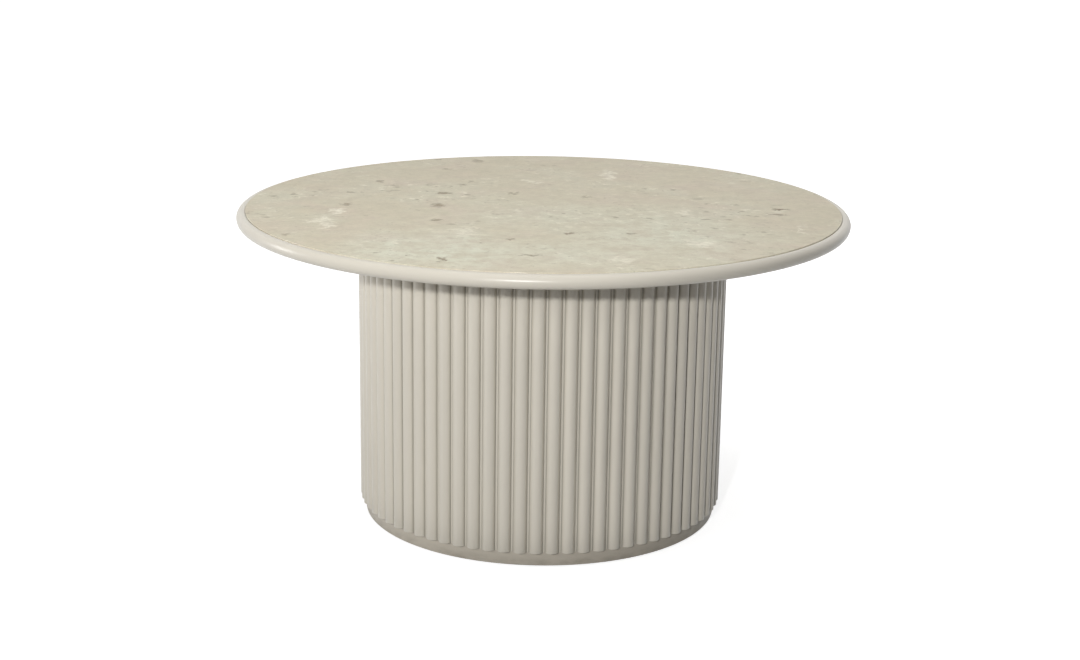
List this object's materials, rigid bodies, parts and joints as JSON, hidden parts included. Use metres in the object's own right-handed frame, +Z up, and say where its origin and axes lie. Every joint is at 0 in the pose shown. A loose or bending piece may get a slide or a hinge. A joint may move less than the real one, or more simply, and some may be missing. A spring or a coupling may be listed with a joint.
{
  "type": "round cocktail table",
  "caption": "Low round table with a stone disc let into a half-round painted rim, on a wide reeded drum with a recessed plinth and hidden screw-in levelling feet.",
  "frame": {"origin": "on the floor under the middle of the table, at the undersides of the foot pads", "axes": "+Z up along the axis of the drum; -Y is the side that faces the camera"},
  "size_m": [0.89, 0.8898, 0.46],
  "materials": {
    "stone": "honed natural stone, beige with pale clouds and short grey flecks",
    "lacquer": "satin greige lacquer over wood",
    "plywood": "bare birch plywood",
    "steel": "zinc plated",
    "brass": "plain turned brass",
    "nylon": "moulded nylon",
    "silicone": "cured adhesive"
  },
  "bodies": {
    "table": {"drum_base_ring": "plywood", "drum_middle_ring": "plywood", "drum_skin_back": "plywood", "drum_skin_front": "plywood", "drum_top_ring": "plywood", "foot_insert_nuts": "steel", "plinth_ring": "lacquer", "plinth_screws": "steel", "reeds_back": "lacquer", "reeds_front": "lacquer", "rim_segment_1": "lacquer", "rim_segment_2": "lacquer", "rim_segment_3": "lacquer", "rim_segment_4": "lacquer", "rim_segment_5": "lacquer", "rim_segment_6": "lacquer", "stone_bedding": "silicone", "stone_top": "stone", "top_bolt_inserts": "brass", "top_bolt_washers": "steel", "top_bolts": "steel", "top_core": "plywood", "upright_1": "plywood", "upright_2": "plywood", "upright_3": "plywood", "upright_4": "plywood", "upright_5": "plywood", "upright_6": "plywood", "upright_base_screws": "steel", "upright_top_screws": "steel"},
    "pad_1": {"foot_pad_1": "nylon"},
    "stud_1": {"foot_stud_1": "steel"},
    "pad_2": {"foot_pad_2": "nylon"},
    "stud_2": {"foot_stud_2": "steel"},
    "pad_3": {"foot_pad_3": "nylon"},
    "stud_3": {"foot_stud_3": "steel"},
    "pad_4": {"foot_pad_4": "nylon"},
    "stud_4": {"foot_stud_4": "steel"}
  },
  "joints": [
    {"name": "pad_slide_1", "type": "slide", "parent": "table", "child": "pad_1", "axis": [0, 0, -1], "range_m": [0, 0.01]},
    {"name": "stud_turn_1", "type": "hinge", "parent": "pad_1", "child": "stud_1", "pos_m": [0.16631, 0.16631, 0.02], "axis": [0, 0, -1], "range_deg": [0, 2880]},
    {"name": "pad_slide_2", "type": "slide", "parent": "table", "child": "pad_2", "axis": [0, 0, -1], "range_m": [0, 0.01]},
    {"name": "stud_turn_2", "type": "hinge", "parent": "pad_2", "child": "stud_2", "pos_m": [-0.16631, 0.16631, 0.02], "axis": [0, 0, -1], "range_deg": [0, 2880]},
    {"name": "pad_slide_3", "type": "slide", "parent": "table", "child": "pad_3", "axis": [0, 0, -1], "range_m": [0, 0.01]},
    {"name": "stud_turn_3", "type": "hinge", "parent": "pad_3", "child": "stud_3", "pos_m": [-0.16631, -0.16631, 0.02], "axis": [0, 0, -1], "range_deg": [0, 2880]},
    {"name": "pad_slide_4", "type": "slide", "parent": "table", "child": "pad_4", "axis": [0, 0, -1], "range_m": [0, 0.01]},
    {"name": "stud_turn_4", "type": "hinge", "parent": "pad_4", "child": "stud_4", "pos_m": [0.16631, -0.16631, 0.02], "axis": [0, 0, -1], "range_deg": [0, 2880]}
  ],
  "couplings": [
    {"joint": "stud_turn_1", "follows": "pad_slide_1", "rad_per_m": 5026.5},
    {"joint": "stud_turn_2", "follows": "pad_slide_2", "rad_per_m": 5026.5},
    {"joint": "stud_turn_3", "follows": "pad_slide_3", "rad_per_m": 5026.5},
    {"joint": "stud_turn_4", "follows": "pad_slide_4", "rad_per_m": 5026.5}
  ]
}
